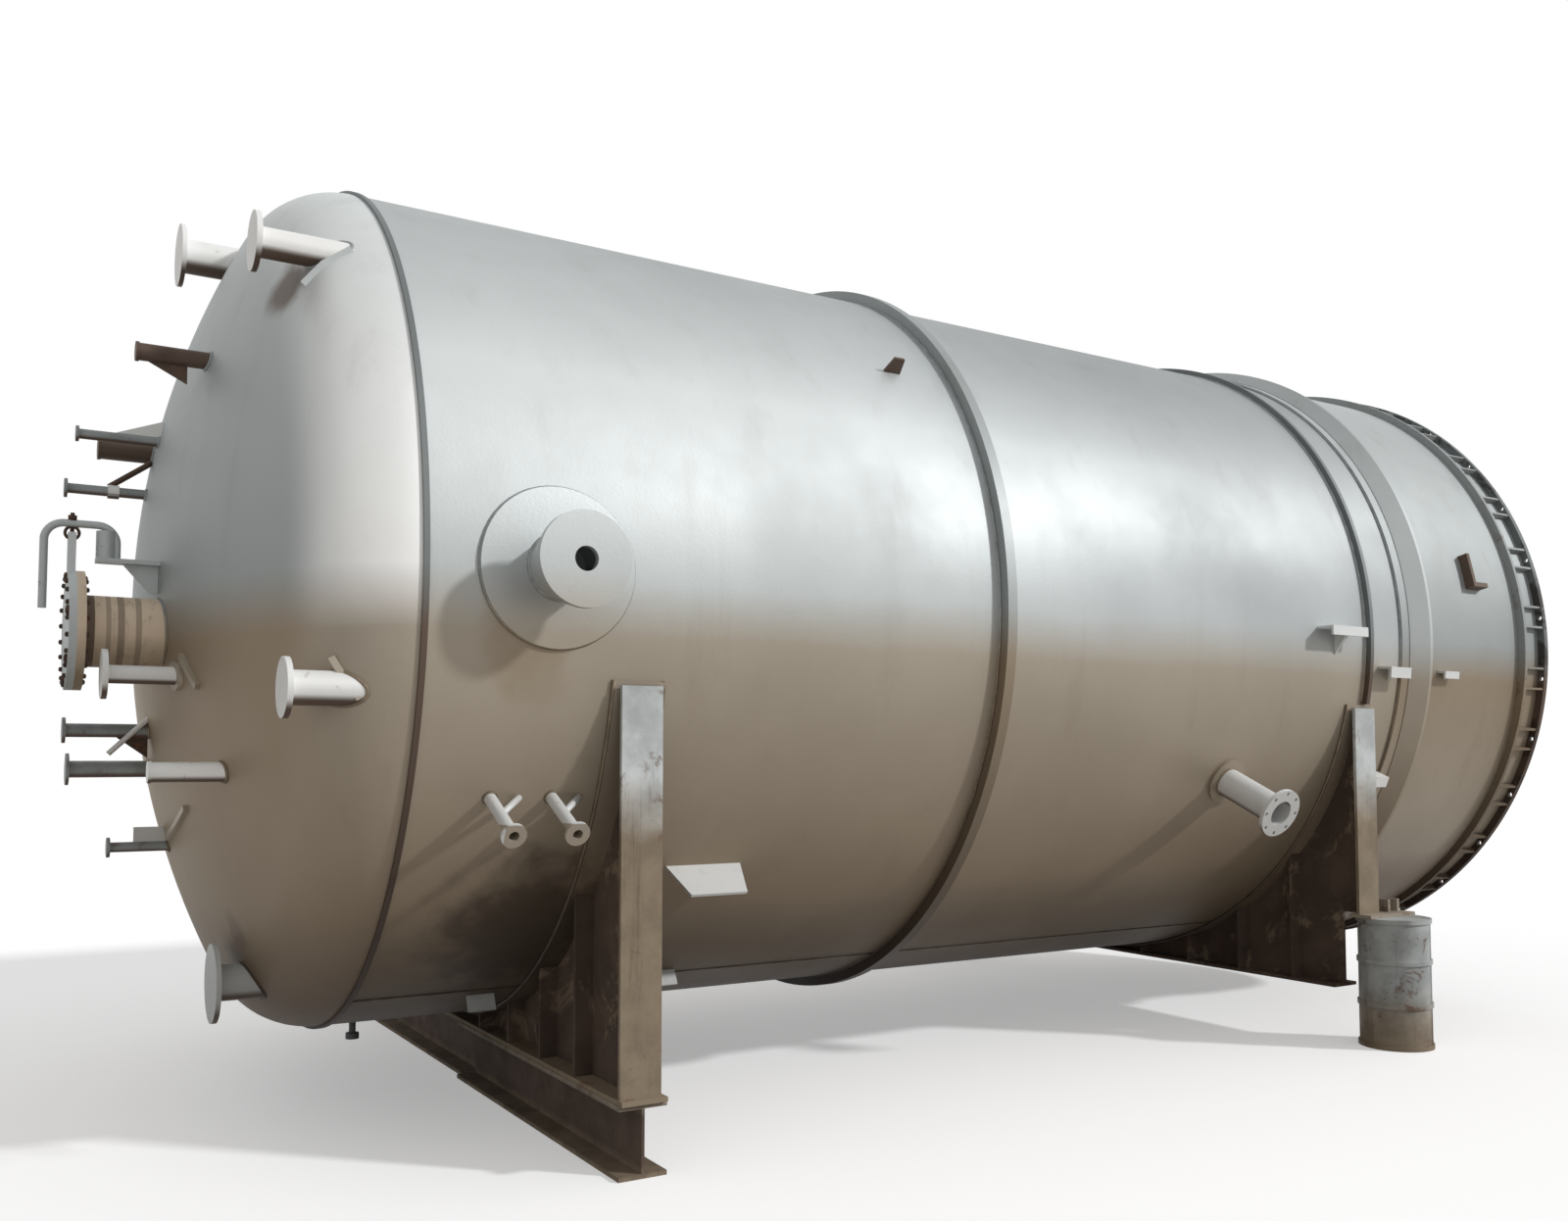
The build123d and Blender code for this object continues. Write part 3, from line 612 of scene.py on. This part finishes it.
nodeFinish = {
    headSkin: ["front_head", "rear_head"],
    shellSkin: ["front_shell_upper", "front_shell_lower", "rear_shell_upper", "rear_shell_lower",
                "saddle_wrappers"],
    padSkin: ["reinforcing_pads"],
    skirtSkin: ["skirt_upper", "skirt_lower"],
    seamMetal: ["head_seam_ring"],
    ringMetal: ["middle_ring"],
    thinRingMetal: ["rear_ring"],
    bandMetal: ["skirt_band"],
    chairMetal: ["chair_ring", "chair_gussets"],
    baseRingMetal: ["base_ring"],
    trunnionMetal: ["near_trunnion", "far_trunnion"],
    nozzleMetal: ["upper_near_nozzle", "upper_far_nozzle", "middle_near_nozzle", "edge_near_nozzle",
                  "bottom_nozzle", "rear_side_nozzle", "drip_nozzles"],
    smallPipeMetal: ["upper_small_nozzles", "lower_small_nozzles", "bottom_drain"],
    neckMetal: ["manway_neck"],
    coverMetal: ["manway_cover"],
    davitMetal: ["manway_davit"],
    clipMetal: ["front_clips", "rear_clips"],
    saddleSteel: ["front_saddle_web", "rear_saddle_web", "rear_saddle_base"],
    endPlateSteel: ["front_saddle_end_plates", "rear_saddle_end_plates"],
    footSteel: ["rear_foot_plates", "front_saddle_base"],
    beamSteel: ["near_beam", "far_beam"],
    drumPaint: ["near_drum", "far_drum"],
}


def dressNodes():
    for material, names in nodeFinish.items():
        for name in names:
            slots = nodes[name].material_slots
            if not slots:
                nodes[name].data.materials.append(material)
            for slot in slots:
                slot.material = material


dressNodes()
print("stage: finishes")


# Mesh helpers

def addPiece(name, mesh, material, smooth=True):
    data = bpy.data.meshes.new(name)
    bmesh.ops.recalc_face_normals(mesh, faces=mesh.faces)
    mesh.to_mesh(data)
    mesh.free()
    for face in data.polygons:
        face.use_smooth = smooth
    data.materials.append(material)
    piece = bpy.data.objects.new(name, data)
    bpy.context.scene.collection.objects.link(piece)
    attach(piece, "root")
    return piece


def addTube(mesh, points, radius, closed=False, sides=8):
    # Round bead or bar along a row of points
    rings = []
    count = len(points)
    for index, point in enumerate(points):
        before = points[index - 1] if index or closed else point
        after = points[(index + 1) % count] if index < count - 1 or closed else point
        along = (after - before).normalized()
        side = (side - along * side.dot(along)).normalized() if rings else along.orthogonal().normalized()
        across = along.cross(side)
        ring = []
        for k in range(sides):
            turn = 2 * math.pi * k / sides
            ring.append(mesh.verts.new(point + radius * (math.cos(turn) * side + math.sin(turn) * across)))
        rings.append(ring)
    last = count if closed else count - 1
    for index in range(last):
        first, second = rings[index], rings[(index + 1) % count]
        for k in range(sides):
            mesh.faces.new((first[k], first[(k + 1) % sides], second[(k + 1) % sides], second[k]))
    if not closed:
        mesh.faces.new(list(reversed(rings[0])))
        mesh.faces.new(rings[-1])


def addPlate(mesh, outline, thickness):
    # Flat plate with the given outline, the same thickness to both sides
    normal = (outline[1] - outline[0]).cross(outline[2] - outline[0]).normalized() * thickness / 2
    front = [mesh.verts.new(point + normal) for point in outline]
    back = [mesh.verts.new(point - normal) for point in outline]
    mesh.faces.new(front)
    mesh.faces.new(list(reversed(back)))
    for index in range(len(outline)):
        after = (index + 1) % len(outline)
        mesh.faces.new((front[index], back[index], back[after], front[after]))


def addCylinder(mesh, centre, along, radius, start, end, sides=16):
    turn = Vector((0, 0, 1)).rotation_difference(along).to_matrix().to_4x4()
    place = Matrix.Translation(centre + along * (start + end) / 2) @ turn
    bmesh.ops.create_cone(mesh, cap_ends=True, segments=sides, radius1=radius, radius2=radius,
                          depth=abs(end - start), matrix=place)


boltLook = {"stud": 0.55, "studEnd": 1.25}  # shares of the nut's radius and height


def addBolt(mesh, centre, along, radius, length):
    # Hexagon nut with a short stud end
    addCylinder(mesh, centre, along, radius, 0, length, 6)
    addCylinder(mesh, centre, along, radius * boltLook["stud"], length, length * boltLook["studEnd"], 10)


def arcPoints(x, radius, fromAngle, toAngle, steps=96, wobble=0.0):
    # Arc round the vessel axis; angles run from the near side up over the top
    points = []
    for step in range(steps + 1):
        angle = math.radians(fromAngle + (toAngle - fromAngle) * step / steps)
        reach = radius + random.uniform(-wobble, wobble)
        points.append(onVessel(x, -reach * math.cos(angle), reach * math.sin(angle)))
    return points


def skinRing(x, angle, radius, skin, side=1, steps=48):
    # Ring lying on the shell round a pipe that leaves it square
    points = []
    for step in range(steps):
        turn = 2 * math.pi * step / steps
        lean = math.radians(angle) + radius * math.sin(turn) / skin
        across = -side * skin * math.cos(lean)
        points.append(onVessel(x + radius * math.cos(turn), across, skin * math.sin(lean)))
    return points


# Dished head, to seat welds and braces on it

headShape = {"crown": 4.2, "knuckle": 0.42}
knuckleY = shellRadius - headShape["knuckle"]
crownSpan = headShape["crown"] - headShape["knuckle"]
crownX = math.sqrt(crownSpan ** 2 - knuckleY ** 2)


def headFace(reach):
    reach = min(reach, shellRadius)
    if reach < headShape["crown"] * knuckleY / crownSpan:
        return crownX - math.sqrt(headShape["crown"] ** 2 - reach ** 2)
    return -math.sqrt(headShape["knuckle"] ** 2 - (reach - knuckleY) ** 2)


def onHead(y, z, lift=0.0):
    return onVessel(headFace(math.hypot(y, z)) - lift, y, z)


# Weld beads

weldLook = {
    "bead": 0.008,
    "wobble": 0.0012,
    "seamAngles": (118.0, -62.0),    # long seams, from the near side up over the top
    "seamGaps": (0.02, 0.04, 0.01),  # clear of the front seam, of the middle ring, of skirt and band
    "seamShare": 0.75,               # thickness beside the other beads
    "saddleShare": 1.2,
    "trunnionShare": 1.3,
    "middleRingHalf": 0.030,
    "rearRingHalf": 0.015,
    "wrapperHalf": 0.115,
    "wrapperProud": 0.008,
    "hornAngle": -11.7,              # where the saddle wrappers end on the shell
    "padRadius": 0.335,
    "padProud": 0.018,
    "trunnionPipe": 0.135,
    "rearNozzle": (4.773, -25.0, 0.084),
    "dripNozzles": ((0.340, -26.0, 0.026), (0.608, -26.0, 0.026)),
}

# Pipe radii of the flanged nozzles, and (across, above the axis, radius) of the small pipes

headPipes = {
    "upper_near_nozzle": 0.064,
    "upper_far_nozzle": 0.088,
    "middle_near_nozzle": 0.040,
    "edge_near_nozzle": 0.068,
    "bottom_nozzle": 0.082,
    "manway_neck": 0.160,
}

smallPipes = {
    "topNear": (-0.738, 1.050, 0.039),
    "topFar": (-0.077, 0.795, 0.024),
    "topShort": (0.135, 0.775, 0.048),
    "topMiddle": (0.031, 0.548, 0.024),
    "lowNear": (-1.141, -0.814, 0.042),
    "lowMiddle": (-0.177, -0.625, 0.032),
    "lowFar": (-0.008, -0.808, 0.040),
    "lowest": (-0.012, -1.185, 0.024),
}


def weldRings(mesh):
    bead = weldLook["bead"]
    wobble = weldLook["wobble"]
    middle = middleX - headX
    for edge in (-1, 1):
        x = middle + edge * (weldLook["middleRingHalf"] + bead / 2)
        addTube(mesh, arcPoints(x, shellRadius, 0, 360, 180, wobble)[:-1], bead, closed=True, sides=6)
    low = math.degrees(math.asin(rearRingBottom / shellRadius))
    for edge in (-1, 1):
        x = rearRingX - headX + edge * (weldLook["rearRingHalf"] + bead / 2)
        addTube(mesh, arcPoints(x, shellRadius, low, 180 - low, 120, wobble), bead, sides=6)
    for x, reach in ((skirtLow.x, shellRadius + bead / 2), (bandEnd, skirtRadius)):
        addTube(mesh, arcPoints(x - headX, reach, 0, 360, 180, wobble)[:-1], bead, closed=True, sides=6)


def weldSeams(mesh):
    bead = weldLook["bead"]
    front, middle, rear = weldLook["seamGaps"]
    spans = (
        (headX + front, middleX - middle, shellRadius),
        (middleX + middle, skirtLow.x - rear, shellRadius),
        (bandEnd + rear, chairX, skirtRadius),
    )
    for angle in weldLook["seamAngles"]:
        for start, end, reach in spans:
            lean = math.radians(angle)
            points = []
            for step in range(61):
                x = start + (end - start) * step / 60 - headX
                out = reach + random.uniform(-1, 1) * weldLook["wobble"]
                points.append(onVessel(x, -out * math.cos(lean), out * math.sin(lean)))
            addTube(mesh, points, bead * weldLook["seamShare"], sides=6)


def weldFittings(mesh):
    bead = weldLook["bead"]
    skin = shellRadius + weldLook["padProud"]
    for name in ("near_trunnion", "far_trunnion"):
        centre = boxCentre(name)
        side = 1 if centre.y < 0 else -1
        x = centre.x - headX
        angle = math.degrees(math.asin((centre.z - axisHeight) / shellRadius))
        addTube(mesh, skinRing(x, angle, weldLook["padRadius"], shellRadius + bead / 2, side), bead, True, 6)
        thick = bead * weldLook["trunnionShare"]
        addTube(mesh, skinRing(x, angle, weldLook["trunnionPipe"], skin, side), thick, True, 6)
    x, angle, radius = weldLook["rearNozzle"]
    addTube(mesh, skinRing(x, angle, radius, skin), bead, True, 6)
    for x, angle, radius in weldLook["dripNozzles"]:
        addTube(mesh, skinRing(x, angle, radius, shellRadius), bead, True, 6)
    pipes = []
    for name, radius in headPipes.items():
        centre = boxCentre(name)
        pipes.append((centre.y, centre.z - axisHeight, radius))
    for y, z, radius in pipes + list(smallPipes.values()):
        points = []
        for step in range(40):
            turn = 2 * math.pi * step / 40
            points.append(onHead(y + radius * math.cos(turn), z + radius * math.sin(turn), bead / 3))
        addTube(mesh, points, bead, True, 6)


def weldSaddles(mesh):
    bead = weldLook["bead"]
    reach = shellRadius + weldLook["wrapperProud"]
    horn = weldLook["hornAngle"]
    for name in ("front_saddle_web", "rear_saddle_web"):
        middle = boxCentre(name).x - headX
        for edge in (-1, 1):
            x = middle + edge * (weldLook["wrapperHalf"] + bead / 3)
            arc = arcPoints(x, reach, horn, -180 - horn, 140, weldLook["wobble"])
            addTube(mesh, arc, bead * weldLook["saddleShare"], sides=6)


def makeWelds():
    mesh = bmesh.new()
    weldRings(mesh)
    weldSeams(mesh)
    addPiece("vessel_welds", mesh, weldMetal)
    mesh = bmesh.new()
    weldFittings(mesh)
    addPiece("fitting_welds", mesh, weldMetal)
    mesh = bmesh.new()
    weldSaddles(mesh)
    addPiece("saddle_welds", mesh, weldMetal)


makeWelds()
print("stage: welds")


# Manway studs and hanger

manwayLook = {
    "studs": 20,
    "studInset": 0.032,
    "nut": 0.012,
    "nutHeight": 0.011,
    "clampNut": 0.024,
    "clampPlaces": (0.232, 0.069, -0.139, -0.232),  # metres above the centre of the cover
    "collar": 0.035,
    "linkRadius": 0.009,
    "ringRadius": 0.028,
    "ringBar": 0.007,
    "linkAbove": 0.03,
    "linkNut": 0.02,
    "linkNutHeight": 0.018,
}


def makeManwayFittings():
    neckLow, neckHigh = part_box("manway_neck")
    coverLow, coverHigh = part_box("manway_cover")
    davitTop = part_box("manway_davit")[1].z
    centre = (neckLow + neckHigh) / 2
    reach = (neckHigh.y - neckLow.y) / 2 - manwayLook["studInset"]
    mesh = bmesh.new()
    for index in range(manwayLook["studs"]):
        angle = 2 * math.pi * (index + 0.5) / manwayLook["studs"]
        out = Vector((0, math.cos(angle), math.sin(angle))) * reach
        front = Vector((coverLow.x, centre.y, centre.z)) + out
        back = Vector((neckLow.x + manwayLook["collar"], centre.y, centre.z)) + out
        addBolt(mesh, front, Vector((-1, 0, 0)), manwayLook["nut"], manwayLook["nutHeight"])
        addBolt(mesh, back, Vector((1, 0, 0)), manwayLook["nut"], manwayLook["nutHeight"])
    for above in manwayLook["clampPlaces"]:
        out = math.sqrt(reach ** 2 - min(above ** 2, reach ** 2))
        spot = Vector((coverLow.x, centre.y - out, centre.z + above))
        addBolt(mesh, spot, Vector((-1, 0, 0)), manwayLook["clampNut"], manwayLook["nutHeight"])
    addPiece("manway_studs", mesh, boltMetal, smooth=False)
    mesh = bmesh.new()
    middle = (coverLow.x + neckLow.x) / 2
    ringCentre = Vector((middle, centre.y, coverHigh.z))
    ring = []
    for step in range(24):
        turn = 2 * math.pi * step / 24
        ring.append(ringCentre + manwayLook["ringRadius"] * Vector((math.cos(turn), 0, math.sin(turn))))
    addTube(mesh, ring, manwayLook["ringBar"], closed=True)
    top = davitTop + manwayLook["linkAbove"]
    addTube(mesh, [ringCentre, Vector((middle, centre.y, top))], manwayLook["linkRadius"])
    nutPlace = Vector((middle, centre.y, davitTop))
    addCylinder(mesh, nutPlace, Vector((0, 0, 1)), manwayLook["linkNut"], 0, manwayLook["linkNutHeight"], 6)
    addPiece("manway_hanger", mesh, boltMetal)


makeManwayFittings()


# Braces and gussets of the head nozzles and the drip nozzles

braceLook = {
    "plate": 0.010,
    "rod": 0.015,
    "bar": 0.020,
    "barLift": 0.006,
    "dripSpread": 0.125,
    "dripHold": 0.150,
}


# Gussets run along a pipe from a tip to a foot at the head, and reach away from its middle there
gussets = {
    "topFar": {"tip": -0.93, "foot": -0.72, "reach": 0.105},
    "topNear": {"tip": -0.86, "foot": -0.70, "reach": -0.12},
    "lowMiddle": {"tip": -0.90, "foot": -0.765, "reach": -0.13},
    "lowest": {"tip": -0.80, "foot": -0.65, "reach": 0.095},
}

# Round bars beside a pipe: (along, above its middle) of both ends, how far aside, and radius
struts = {
    "topMiddle": {"ends": ((-0.945, 0.024), (-0.755, 0.165)), "aside": 0.0, "radius": 0.014},
    "lowMiddle": {"ends": ((-0.765, 0.06), (-0.935, -0.11)), "aside": -0.03, "radius": 0.013},
}

pipeCollar = {"along": -0.9, "radius": 0.034, "length": 0.05}


def addGusset(mesh, name):
    # Upright three-sided plate in the plane of one pipe
    y, z, radius = smallPipes[name]
    look = gussets[name]
    edge = z + math.copysign(radius, look["reach"])
    outline = ((look["tip"], edge), (look["foot"], edge), (look["foot"], z + look["reach"]))
    addPlate(mesh, [onVessel(along, y, above) for along, above in outline], braceLook["plate"])


def addStrut(mesh, name):
    y, z, radius = smallPipes[name]
    look = struts[name]
    ends = [onVessel(along, y + look["aside"], z + above) for along, above in look["ends"]]
    addTube(mesh, ends, look["radius"])


def makeBraces():
    bright = bmesh.new()
    dark = bmesh.new()
    addGusset(bright, "topFar")
    addStrut(dark, "topMiddle")
    y, z, radius = smallPipes["topMiddle"]
    start = onVessel(pipeCollar["along"], y, z)
    addCylinder(bright, start, Vector((-1, 0, 0)), pipeCollar["radius"], 0, pipeCollar["length"])
    addGusset(dark, "lowMiddle")
    addStrut(bright, "lowMiddle")
    y, z, radius = smallPipes["lowest"]
    look = gussets["lowest"]
    low, high = z + radius, z + look["reach"]
    square = ((look["tip"], high), (look["foot"], high), (look["foot"], low), (look["tip"], low))
    addPlate(bright, [onVessel(along, y, above) for along, above in square], braceLook["plate"])
    addGusset(dark, "topNear")
    addPiece("nozzle_braces_bright", bright, nozzleMetal, smooth=False)
    addPiece("nozzle_braces_dark", dark, boltMetal, smooth=False)


headBars = (
    ((-1.52, 1.40), (-1.50, 1.32), (-1.47, 1.23)),
    ((-1.93, -0.37), (-1.955, -0.45), (-1.975, -0.53)),
    ((-0.89, -0.31), (-0.96, -0.38), (-1.04, -0.45)),
    ((-0.66, -0.98), (-0.42, -1.07), (-0.13, -1.14)),
)


def makeHeadBars():
    # Pale flat bars that lie on the head beside the nozzles, each from (across, above) points
    mesh = bmesh.new()
    for row in headBars:
        addTube(mesh, [onHead(y, z, braceLook["barLift"]) for y, z in row], braceLook["bar"], sides=4)
    addPiece("head_bars", mesh, padSkin, smooth=False)


def makeDripBraces():
    mesh = bmesh.new()
    for x, angle, radius in weldLook["dripNozzles"]:
        lean = math.radians(angle)
        hold = shellRadius + braceLook["dripHold"]
        across, above = -shellRadius * math.cos(lean), shellRadius * math.sin(lean)
        foot = onVessel(x + braceLook["dripSpread"], across, above)
        grip = onVessel(x, -hold * math.cos(lean), hold * math.sin(lean))
        addTube(mesh, [foot, grip], braceLook["rod"])
    addPiece("drip_braces", mesh, nozzleMetal)


makeBraces()
makeHeadBars()
makeDripBraces()
print("stage: fittings")


# Drum seams

drumLook = {
    "seamBead": 0.005,
    "seamTurn": -70.0,
    "seamSunk": 0.009,
    "seamInset": 0.03,
}


def makeDrumFittings():
    mesh = bmesh.new()
    for name in ("near_drum", "far_drum"):
        low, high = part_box(name)
        centre = (low + high) / 2
        turn = math.radians(drumLook["seamTurn"])
        out = Vector((math.cos(turn), math.sin(turn), 0)) * (drumRadius - drumLook["seamSunk"])
        place = Vector((centre.x, centre.y, 0)) + out
        foot = place + Vector((0, 0, low.z + drumLook["seamInset"]))
        top = place + Vector((0, 0, high.z - drumLook["seamInset"]))
        addTube(mesh, [foot, top], drumLook["seamBead"], sides=6)
    addPiece("drum_seams", mesh, drumPaint)


makeDrumFittings()
print("stage: drums")


# Floor, backdrop and light

stageLook = {
    "floorSeen": (0.93, 0.93, 0.93),
    "floorGround": (0.34, 0.30, 0.26),  # what lights the object from below
    "floorLift": 0.34,
    "floorReach": 300.0,
    "skyStrength": 0.45,
    "sunStrength": 1.75,
    "sunSoftness": 4.0,
    "sunFrom": (0.62, -0.62, 0.50),
}


def seenRays(tree):
    # One for camera, glossy and transmission rays, else zero
    rays = addNode(tree, "ShaderNodeLightPath").outputs
    seen = mathNode(tree, "MAXIMUM", rays["Is Camera Ray"], rays["Is Glossy Ray"])
    return mathNode(tree, "MAXIMUM", seen, rays["Is Transmission Ray"])


def makeFloor():
    mesh = bmesh.new()
    bmesh.ops.create_grid(mesh, x_segments=4, y_segments=4, size=stageLook["floorReach"])
    data = bpy.data.meshes.new("floor")
    mesh.to_mesh(data)
    mesh.free()
    floor = bpy.data.objects.new("floor", data)
    bpy.context.scene.collection.objects.link(floor)
    material = bpy.data.materials.new("floorWhite")
    material.use_nodes = True
    tree = material.node_tree
    shader = tree.nodes["Principled BSDF"]
    shader.inputs["Roughness"].default_value = 0.9
    shader.inputs["Specular IOR Level"].default_value = 0.0
    seen = seenRays(tree)
    colour = mixColour(tree, seen, stageLook["floorGround"], stageLook["floorSeen"])
    tree.links.new(colour, shader.inputs["Base Color"])
    lift = [stageLook["floorLift"]] * 3
    tree.links.new(mixColour(tree, seen, (0, 0, 0), lift), shader.inputs["Emission Color"])
    shader.inputs["Emission Strength"].default_value = 1.0
    data.materials.append(material)


def makeWorld():
    world = bpy.data.worlds.new("studio")
    bpy.context.scene.world = world
    world.use_nodes = True
    tree = world.node_tree
    background = tree.nodes["Background"]
    plain = stageLook["skyStrength"]
    strength = mathNode(tree, "MULTIPLY_ADD", seenRays(tree), 1.0 - plain, plain)
    tree.links.new(strength, background.inputs["Strength"])
    background.inputs["Color"].default_value = (1, 1, 1, 1)


def makeSun():
    data = bpy.data.lights.new("sun", "SUN")
    data.energy = stageLook["sunStrength"]
    data.angle = math.radians(stageLook["sunSoftness"])
    light = bpy.data.objects.new("sun", data)
    light.rotation_euler = Vector(stageLook["sunFrom"]).to_track_quat("Z", "Y").to_euler()
    bpy.context.scene.collection.objects.link(light)


makeFloor()
makeWorld()
makeSun()
scene = bpy.context.scene
scene.view_settings.view_transform = "Standard"
print("stage: floor and light")
